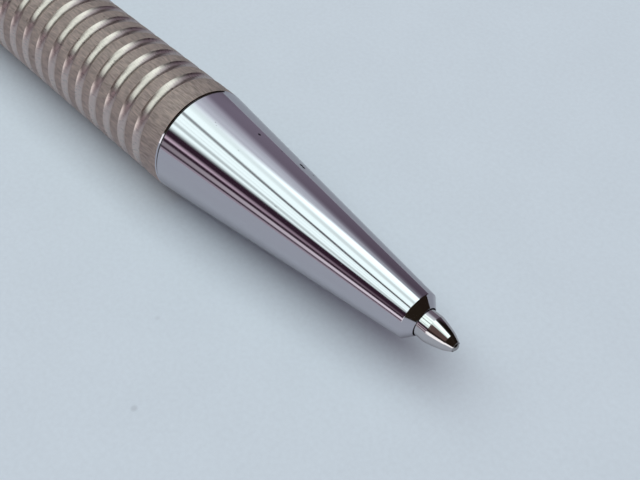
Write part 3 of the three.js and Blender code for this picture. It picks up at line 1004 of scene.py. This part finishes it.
@dataclass(frozen=True)
class RearEnd:
    """The housing that carries the clip, and the end button behind it, with its rounded rim."""

    spigot: float = 4.3
    spigot_length: float = 5.0
    bore: float = 1.52
    edge: float = 0.14
    slot_width: float = 2.6
    slot_floor: float = 1.92
    slot_reach: float = 8.0
    slot_rear: float = 2.6
    slot_front: float = 2.1
    pin_hole: float = 0.52
    button_neck_width: float = 0.3
    button_neck_depth: float = 0.35
    button_face: float = 3.55
    dome_length: float = 1.3
    screw_room: float = 1.95
    seat_gap: float = 0.02
    step_fillet: float = 0.1
    slot_fillet: float = 0.3
    slot_edge: float = 0.01
    hole_reach: float = 8.0
    neck_fillet: float = 0.04

    def build(self, pin: Axle) -> None:
        """Makes the housing and the button.

        Args:
            pin: the axle of the clip's pin.
        """
        rear, front = node_ends("end_housing")
        shoulder = front - self.spigot_length - self.seat_gap
        rows = [
            [front, self.bore, 0, 0],
            [front, self.spigot, self.step_fillet, 0],
            [shoulder, self.spigot, 0, 0],
            [shoulder, FIT.barrel, self.edge, 0],
            [rear, FIT.barrel, self.edge, 0],
            [rear, self.bore, 0, 0],
        ]
        housing = turned_piece("clip_housing", rows)
        combine(housing, self.slot_cutter(PEN.station(pin.origin.x)), Combining.CUT)
        combine(housing, rod_piece("pin_cutter", self.hole_reach, self.pin_hole, pin), Combining.CUT)
        dress(housing, "rear_half", "polished_steel", "end_housing", CHROME)
        self.build_button(rear)

    def slot_cutter(self, pin_station: float) -> bpy.types.Object:
        """Makes the block that cuts the clip's slot, with rounded corners at its foot.

        Args:
            pin_station: the station of the clip's pin.

        Returns:
            The block.
        """
        first, last = pin_station - self.slot_rear, pin_station + self.slot_front
        rows = [
            [first, self.slot_floor, self.slot_fillet, 0],
            [last, self.slot_floor, self.slot_fillet, 0],
            [last, self.slot_reach, 0, 0],
            [first, self.slot_reach, 0, 0],
        ]
        return strap_piece("slot_cutter", rows, self.slot_width / 2, Taper(), self.slot_edge, 0.0)

    def build_button(self, seat: float) -> None:
        """Makes the end button.

        Formula: the rim is rear + a (1 - cos t) along and face + b sin t out, with t from 0 to a right angle.

        Args:
            seat: the station that it is screwed up against.
        """
        rear = node_ends("finial")[0]
        front = seat - self.seat_gap
        turn = np.linspace(0, np.pi / 2, 13)
        station = rear + self.dome_length * (1 - np.cos(turn))
        dome = outline_rows(station, self.button_face + (FIT.barrel - self.button_face) * np.sin(turn))
        neck = front - self.button_neck_width
        neck_radius = FIT.barrel - self.button_neck_depth
        tail = [
            [neck, FIT.barrel, self.step_fillet, 0],
            [neck, neck_radius, self.neck_fillet, 0],
            [front, neck_radius, 0, 0],
            [front, self.bore, 0, 0],
            [rear + self.screw_room, self.bore, 0, 0],
            [rear + self.screw_room, 0, 0, 0],
        ]
        button = turned_piece("end_button", np.concatenate([[[rear, 0, 0, 0]], dome, tail]), closed=False)
        dress(button, "rear_half", "polished_steel", "finial", CHROME)


@dataclass(frozen=True)
class Clip:
    """The sprung clip with its lug, and the pin that it swings on."""

    inner: float = 6.1
    thickness: float = 0.9
    half_width: float = 1.8
    tip_share: float = 0.722
    reach: float = 38.0
    tail: float = 2.2
    pad: float = 5.244
    pad_length: float = 3.0
    bend_length: float = 6.0
    flare: float = 1.6
    flare_rise: float = 0.9
    edge: float = 0.17
    crown: float = 0.1
    lug_half_width: float = 1.1
    lug_front: float = 1.7
    lug_drop: float = 1.0
    pin_radius: float = 0.5
    pin_gap: float = 0.06
    bend_fillet: float = 8.0
    flare_fillet: float = 0.8
    outer_flare_fillet: float = 1.6
    end_fillet: float = 0.19
    tail_fillet: float = 0.55
    small_fillet: float = 0.1
    foot_fillet: float = 0.4
    lug_fillet: float = 0.2
    lug_edge: float = 0.08
    bore_reach: float = 3.0
    pin_fillet: float = 0.15

    def pin_axle(self) -> Axle:
        """Finds the axle of the clip's pin.

        Returns:
            The axle through the middle of the pin's box, across the pen.
        """
        low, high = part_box("clip_pin")
        side = PEN.along.cross(CLIP_SIDE.out)
        return Axle((low + high) / 2, side, CLIP_SIDE.out)

    def arm_rows(self, rear: float, front: float) -> list:
        """Works out the side outline of the clip's arm.

        Args:
            rear: the station of its rear end.
            front: the station of its front end.

        Returns:
            The corners, first along the inner side and then back along the outer one.
        """
        pad_front = front - self.flare
        pad_rear = pad_front - self.pad_length
        bend = pad_rear - self.bend_length
        outer = self.inner + self.thickness
        end = self.pad + self.flare_rise
        return [
            [rear, self.inner, self.small_fillet, 0],
            [bend, self.inner, self.bend_fillet, 0],
            [pad_rear, self.pad, self.bend_fillet, 0],
            [pad_front, self.pad, self.flare_fillet, 0],
            [front, end, self.end_fillet, 0],
            [front, end + self.thickness / 2, self.end_fillet, 0],
            [pad_front, self.pad + self.thickness, self.outer_flare_fillet, 0],
            [pad_rear, self.pad + self.thickness, self.bend_fillet, 0],
            [bend, outer, self.bend_fillet, 0],
            [rear, outer, self.tail_fillet, 0],
        ]

    def lug_rows(self, rear: float, station: float, height: float) -> list:
        """Works out the side outline of the lug that goes into the housing.

        Args:
            rear: the station of its rear side.
            station: the station of the pin.
            height: the pin's height over the pen's axle.

        Returns:
            The corners, from the foot round the front.
        """
        foot = height - self.lug_drop
        top = self.inner + self.thickness / 2
        return [
            [rear, foot, self.foot_fillet, 0],
            [station + self.lug_front / 2, foot, self.lug_fillet, 0],
            [station + self.lug_front, height, self.lug_fillet, 0],
            [station + self.lug_front, top, 0, 0],
            [rear + self.thickness / 2, top, 0, 0],
            [rear, self.inner, self.small_fillet, 0],
        ]

    def build(self) -> None:
        """Makes the clip and its pin."""
        pin = self.pin_axle()
        station = PEN.station(pin.origin.x)
        height = (pin.origin - PEN.origin).dot(CLIP_SIDE.out) / MM
        rear, front = station - self.tail, station + self.reach
        taper = Taper(station, self.reach, self.tip_share)
        arm = self.arm_rows(rear, front)
        clip = strap_piece("sprung_clip", arm, self.half_width, taper, self.edge, self.crown)
        lug = self.lug_rows(rear, station, height)
        lug_piece = strap_piece("clip_lug", lug, self.lug_half_width, Taper(), self.lug_edge, 0.0)
        combine(clip, lug_piece, Combining.JOIN)
        hole = self.pin_radius + self.pin_gap
        combine(clip, rod_piece("clip_bore", self.bore_reach, hole, pin), Combining.CUT)
        dress(clip, "clip", "polished_steel", "clip", CHROME)
        self.build_pin(pin)

    def build_pin(self, pin: Axle) -> None:
        """Makes the pin, as long as its node, with rounded ends.

        Formula: its box along Y is its length times the axle's y part, plus its width times the z part.

        Args:
            pin: its axle.
        """
        low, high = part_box("clip_pin")
        spread = high - low
        side = pin.along
        reach = ((spread.y - 2 * self.pin_radius * MM * abs(side.z)) / abs(side.y) / 2) / MM
        piece = rod_piece("clip_rivet", reach, self.pin_radius, pin, self.pin_fillet)
        dress(piece, "rear_half", "polished_steel", "clip_pin", SPRING_STEEL)


@dataclass(frozen=True)
class InnerWorks:
    """The pieces inside, which keep the shapes of their solids."""

    finishes: tuple[tuple[Finish | RecordFinish, tuple[str, ...]], ...] = (
        (BRASS, ("nose_insert", "coupling_bush", "guide_sleeve", "cam_tube", "follower")),
        (RUBBER, ("drag_ring",)),
        (SPRING_STEEL, ("retaining_ring", "return_spring", "follower_pin", "finial_screw")),
        (SPRING_STEEL, ("clip_leaf_spring",)),
        (REFILL_METAL, ("refill_tube", "refill_neck")),
        (INK, ("ink_column",)),
        (BLUE_PLASTIC, ("refill_end_plug",)),
    )

    def build(self) -> None:
        """Gives each inner node its finish."""
        for finish, nodes in self.finishes:
            for node in nodes:
                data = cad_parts[node].data
                data.materials.clear()
                data.materials.append(finish.material())
                LOG.info("%s: %s", node, finish.name)


@dataclass(frozen=True)
class Span:
    """A stretch of a number, with a soft start and a soft end."""

    start: float
    end: float
    fade_in: float
    fade_out: float

    def mask(self, value: Signal) -> Signal:
        """How far a number is inside the stretch.

        Args:
            value: the number.

        Returns:
            0 outside the stretch and 1 inside it.
        """
        entered = value.over(self.start, self.start + self.fade_in)
        left = value.over(self.end - self.fade_out, self.end)
        return entered * (1.0 - left)


@dataclass(frozen=True)
class Panel:
    """A part of the room that metal reflects.

    It is a band of angles, in degrees round X from straight up towards +Y. A panel without a reach runs the
    whole way along X, and one with a reach covers that stretch of the direction's x part. Its swing is how
    much brighter it is towards +X than its colour says, as a share, and how much dimmer towards -X, and
    swing_x is where it changes. A screen hides what is behind it, and any other panel adds its light.
    """

    angles: Span
    colour: Colour
    swing: float = 0.0
    reach: Span | None = None
    screen: bool = False
    swing_x: Pair = (-0.55, -0.05)

    def lay(self, bench: Bench, angle: Signal, x: Signal, light: Input) -> Signal:
        """Lays the panel over the light so far.

        Args:
            bench: the world's node tree.
            angle: the direction's angle.
            x: the direction's x part.
            light: the light behind the panel.

        Returns:
            The light with the panel.
        """
        mask = self.angles.mask(angle)
        if self.reach:
            mask = mask * self.reach.mask(x)
        if self.swing:
            mask = mask * (1.0 - self.swing + x.over(*self.swing_x) * (2 * self.swing))
        if self.screen:
            return bench.blend(mask, light, self.colour)
        return bench.vector("MULTIPLY_ADD", {0: mask, 1: self.colour, 2: light})


def screen_panel(angles: Stretch, colour: Colour, reach: Stretch) -> Panel:
    """A panel that hides what is behind it, over a stretch of angles and one of the direction's x part."""
    return Panel(Span(*angles), colour, reach=Span(*reach), screen=True)


@dataclass(frozen=True)
class Skylight:
    """The brightest panel, overhead.

    Its edges are soft towards -X and crisp towards +X, where it reaches farther, and crisp_x is the stretch
    of the direction's x part over which they change. Angles are in degrees. Each edge has the angle where it
    starts to fade and the one where it ends, and fade_in has its width towards -X and towards +X.
    """

    start: float = -46.5
    start_lean: float = 13.0
    fade_in: Pair = (12.0, 4.5)
    soft_edge: Pair = (7.0, 25.0)
    crisp_edge: Pair = (29.0, 36.0)
    crisp_x: Pair = (-0.42, -0.17)
    colour: Colour = (1.25, 1.56, 1.47)

    def mask(self, angle: Signal, x: Signal) -> Signal:
        """How much of the panel is seen in a direction.

        Args:
            angle: the direction's angle.
            x: the direction's x part.

        Returns:
            0 off the panel and 1 on it.
        """
        crisp = x.over(*self.crisp_x)
        first, last = (crisp * (far - near) + near for near, far in zip(self.soft_edge, self.crisp_edge))
        near = angle - x * self.start_lean
        lit = crisp * (self.fade_in[1] - self.fade_in[0]) + (self.start + self.fade_in[0])
        return near.over(self.start, lit) * (1.0 - angle.over(first, last))


@dataclass(frozen=True)
class GlazingBar:
    """A darker line across the skylight, at an angle in degrees that leans with the direction's x part.

    Its shade is the share of light left in its middle, towards -X and towards +X, and turn_x is the stretch
    of the x part over which it changes. Its core is the share of its half width that has the full shade.
    """

    angle: float
    lean: float
    half_width: float
    shade: Pair
    core: float = 0.2
    turn_x: Pair = (-0.45, -0.15)

    def mask(self, angle: Signal, x: Signal) -> Signal:
        """How much light the bar leaves in a direction.

        Args:
            angle: the direction's angle.
            x: the direction's x part.

        Returns:
            The bar's shade in its middle and 1 off it.
        """
        off = angle + x * self.lean - self.angle
        off = off.bench.add("ShaderNodeMath", {"operation": "ABSOLUTE"}, {0: off})
        shade = x.over(*self.turn_x) * (self.shade[1] - self.shade[0]) + self.shade[0]
        clear = off.over(self.core * self.half_width, self.half_width)
        return clear + (1.0 - clear) * shade


@dataclass(frozen=True)
class Studio:
    """The desk, the room that polished metal reflects, one soft lamp, and the camera.

    The desk's shades are how much its clouds, fibres and specks change its colour. A pair with reach in its
    name says from how far to how far off something changes, in metres. The joint's place is in millimetres
    right of the lens, down from it and ahead of it. The lamp's two angles are in degrees from straight up.
    """

    desk_colour: Colour = (0.563, 0.690, 0.734)
    room_colour: Colour = (0.70, 0.76, 0.81)
    haze_colour: Colour = (0.54, 0.61, 0.66)
    wall: Colour = (0.034, 0.017, 0.030)
    skylight: Skylight = Skylight()
    bars: tuple[GlazingBar, ...] = (
        GlazingBar(-48.0, 34.0, 4.8, (0.50, 0.55)),
        GlazingBar(-38.0, 30.0, 1.8, (0.85, 0.85)),
        GlazingBar(-31.0, 30.0, 1.6, (0.90, 0.85)),
        GlazingBar(-25.5, 37.0, 4.6, (0.26, 0.0)),
        GlazingBar(1.0, 20.0, 8.0, (0.85, 0.66)),
    )
    panels: tuple[Panel, ...] = (
        Panel(Span(8.0, 58.0, 14.0, 32.0), (0.43, 0.49, 0.52), -0.6),
        Panel(Span(22.0, 46.0, 8.0, 7.0), (0.16, 0.19, 0.20), reach=Span(-0.44, -0.14, 0.10, 0.08)),
        Panel(Span(34.0, 94.0, 12.0, 4.0), (0.114, 0.112, 0.136), -0.7),
        Panel(Span(-69.0, -59.0, 3.0, 7.0), (0.42, 0.35, 0.40), -0.95),
        Panel(Span(-84.0, -72.0, 4.0, 4.0), (0.62, 0.60, 0.63), 0.75),
        Panel(Span(-96.0, -84.5, 2.0, 3.0), (0.36, 0.34, 0.38)),
        screen_panel((44.0, 94.0, 10.0, 8.0), (0.045, 0.035, 0.035), (-0.92, -0.46, 0.12, 0.12)),
        screen_panel((-74.0, -6.0, 4.0, 5.0), (0.030, 0.020, 0.018), (-0.05, 2.0, 0.16, 1.0)),
        screen_panel((-54.0, -6.0, 5.0, 5.0), (0.12, 0.085, 0.078), (-0.05, 2.0, 0.16, 1.0)),
        screen_panel((-100.0, -67.0, 3.0, 3.0), (1.25, 1.30, 1.30), (-0.05, 0.86, 0.12, 0.10)),
        screen_panel((36.0, 100.0, 5.0, 4.0), (0.010, 0.008, 0.006), (-0.08, 2.0, 0.10, 1.0)),
        screen_panel((-70.0, 100.0, 5.0, 4.0), (0.020, 0.014, 0.010), (0.38, 2.0, 0.12, 1.0)),
        screen_panel((-110.0, 100.0, 5.0, 4.0), (0.022, 0.017, 0.011), (0.84, 2.0, 0.06, 1.0)),
        screen_panel((-80.0, 100.0, 10.0, 4.0), (0.04, 0.03, 0.03), (-2.0, -0.72, 1.0, 0.12)),
    )
    fill: Colour = (0.262, 0.183, 0.225)
    lamp_radiance: float = 1.68
    lamp_height: float = 0.8
    lamp_near: float = -32.0
    lamp_far: float = 30.0
    lamp_length: float = 2.0
    lamp_x: float = -0.35
    desk_half: float = 4.0
    desk_roughness: float = 0.8
    cloud_scale: float = 160.0
    cloud_shade: float = 0.05
    fibre_scale: float = 2400.0
    fibre_shade: float = 0.11
    speck_scale: float = 170.0
    speck_size: Pair = (0.02, 0.07)
    speck_share: float = 0.25
    speck_shade: float = 0.16
    # Painted shade: how much dimmer metal reflects the desk, and how much more on the pen's far side
    desk_in_metal: float = 0.74
    far_side_reach: Pair = (0.006, 0.020)
    far_dimming: float = 0.12
    haze_reach: Pair = (0.3, 2.2)
    fade_reach: Pair = (0.12, 0.6)
    fade_in_metal: float = 0.5
    azimuth: float = 46.28
    elevation: float = 50.83
    focal_pixels: float = 1000.0
    image_width: float = 640.0
    sensor_width: float = 36.0
    clip_start: float = 0.001
    clip_end: float = 20.0
    joint_right: float = -10.50
    joint_down: float = -8.71
    joint_ahead: float = 88.95

    def build(self) -> None:
        """Sets up everything round the pen."""
        self.build_desk()
        self.build_room()
        self.build_lamp()
        self.build_camera()
        bpy.context.scene.view_settings.view_transform = "Standard"

    def build_desk(self) -> None:
        """Makes a wide pale sheet that fades into the pale backdrop far from the pen.

        Formula: the fade is a smooth step of the distance from the middle, in full for the camera and through
        glass, by half in metal, and not at all where the desk lights the pen softly.
        """
        grid = np.array([[x, y, 0.0] for x in (-1, 1) for y in (-1, 1)]) * self.desk_half
        desk = mesh_piece("desk", grid, grid_faces(2, 2, False, False), np.zeros(1))
        made = bpy.data.materials.new("desk_paper")
        made.use_nodes = True
        bench = Bench(made.node_tree)
        place = bench.add("ShaderNodeTexCoord", output=OBJECT_COORDINATES)
        path = bench.outputs("ShaderNodeLightPath")
        in_metal = path["Is Glossy Ray"]
        paper = self.paper(bench, place, in_metal)
        away = bench.vector("LENGTH", {0: place}, VECTOR_LENGTH)
        haze = bench.blend(away.over(*self.haze_reach), self.haze_colour, self.room_colour)
        glow = bench.add("ShaderNodeEmission", None, {"Color": haze})
        seen = path["Is Camera Ray"] + in_metal * self.fade_in_metal + path["Is Transmission Ray"]
        faded = {0: away.over(*self.fade_reach) * seen, 1: paper, 2: glow}
        surface = bench.add("ShaderNodeMixShader", None, faded)
        bench.add("ShaderNodeOutputMaterial", None, {"Surface": surface})
        desk.data.materials.append(made)

    def paper(self, bench: Bench, place: Signal, in_metal: Signal) -> Signal:
        """Makes the desk's matt paper, with faint clouds, fibres and specks.

        Metal reflects it dimmer than it is seen, and dimmer still on the far side of the pen: painted shade,
        seen only in reflections.

        Args:
            bench: the desk's node tree.
            place: the place on the desk.
            in_metal: 1 where metal reflects the desk.

        Returns:
            The paper's shader.
        """
        cloud = bench.noise(place, self.cloud_scale)
        fibre = bench.noise(place, self.fibre_scale)
        speck = bench.dots(place, self.speck_scale, self.speck_size, self.speck_share)
        far_side = bench.outputs("ShaderNodeSeparateXYZ", {0: place})["Y"].over(*self.far_side_reach)
        shade = 1.0 + self.cloud_shade * (cloud - 0.5) + self.fibre_shade * (fibre - 0.5)
        shade = shade - self.speck_shade * speck
        # Painted shade in reflections: glossy rays see the paper darker, more on the far side of the pen
        shade = shade * (1.0 - in_metal * (far_side * self.far_dimming + (1 - self.desk_in_metal)))
        colour = bench.vector("SCALE", {0: self.desk_colour, "Scale": shade})
        matt = {"Base Color": colour, "Roughness": self.desk_roughness, "Specular IOR Level": 0.0}
        return bench.add("ShaderNodeBsdfPrincipled", None, matt)

    def build_room(self) -> None:
        """Makes the room: level light on matt surfaces, and panels and dark walls for metal to reflect."""
        world = bpy.data.worlds.new("room")
        bpy.context.scene.world = world
        world.use_nodes = True
        bench = Bench(world.node_tree)
        way = bench.add("ShaderNodeTexCoord", output=WORLD_DIRECTION)
        x, y, z = bench.outputs("ShaderNodeSeparateXYZ", {0: way}).values()
        angle = bench.add("ShaderNodeMath", {"operation": "ARCTAN2"}, {0: y, 1: z}) * (180 / math.pi)
        bright = self.skylight.mask(angle, x)
        for bar in self.bars:
            bright = bright * bar.mask(angle, x)
        light = bench.vector("MULTIPLY_ADD", {0: bright, 1: self.skylight.colour, 2: self.wall})
        for panel in self.panels:
            light = panel.lay(bench, angle, x, light)
        path = bench.outputs("ShaderNodeLightPath")
        matt = bench.blend(path["Is Glossy Ray"] + path["Is Transmission Ray"], self.fill, light)
        seen = bench.blend(path["Is Camera Ray"], matt, self.room_colour)
        background = bench.add("ShaderNodeBackground", None, {"Color": seen, "Strength": 1.0})
        bench.add("ShaderNodeOutputWorld", None, {"Surface": background})

    def build_lamp(self) -> None:
        """One wide panel overhead, where polished metal sees the room's brightest one.

        Its size spans the panel's two angles at its height, and its power gives it the lamp's radiance.
        """
        near = self.lamp_height * math.tan(math.radians(self.lamp_near))
        far = self.lamp_height * math.tan(math.radians(self.lamp_far))
        data = bpy.data.lights.new("overhead_panel", "AREA")
        data.shape = "RECTANGLE"
        data.size = self.lamp_length
        data.size_y = far - near
        data.energy = self.lamp_radiance * math.pi * data.size * data.size_y
        lamp = bpy.data.objects.new("overhead_panel", data)
        bpy.context.scene.collection.objects.link(lamp)
        lamp.location = (self.lamp_x, (near + far) / 2, self.lamp_height)
        lamp.visible_glossy = False

    def build_camera(self) -> None:
        """The camera at the photograph's viewing angle.

        Its place puts the middle of the joint where the photograph has it, right, down and ahead of the lens.
        """
        turn, rise = math.radians(self.azimuth), math.radians(self.elevation)
        right = Vector((math.cos(turn), math.sin(turn), 0.0))
        back = Vector((math.sin(turn) * math.cos(rise), -math.cos(turn) * math.cos(rise), math.sin(rise)))
        up = back.cross(right)
        place = PEN.origin - MM * (self.joint_right * right - self.joint_down * up - self.joint_ahead * back)
        data = bpy.data.cameras.new("photo_camera")
        data.sensor_width = self.sensor_width
        data.lens = self.sensor_width * self.focal_pixels / self.image_width
        data.clip_start = self.clip_start
        data.clip_end = self.clip_end
        camera = bpy.data.objects.new("photo_camera", data)
        bpy.context.scene.collection.objects.link(camera)
        camera.matrix_world = Matrix.Translation(place) @ Matrix((right, up, back)).transposed().to_4x4()
        bpy.context.scene.camera = camera


def main() -> None:
    """Builds the pen and its surroundings."""
    logging.basicConfig(level=logging.INFO, format="%(message)s")
    Studio().build()
    InnerWorks().build()
    NoseCone().build()
    RingedBarrel("ringed_barrel", "lower_barrel", "front_half", grooves=17).build()
    RingedBarrel("ringed_rear_barrel", "upper_barrel", "rear_half", grooves=5).build()
    WritingPoint().build()
    CentreRing().build()
    clip = Clip()
    clip.build()
    RearEnd().build(clip.pin_axle())


if __name__ == "__main__":
    main()
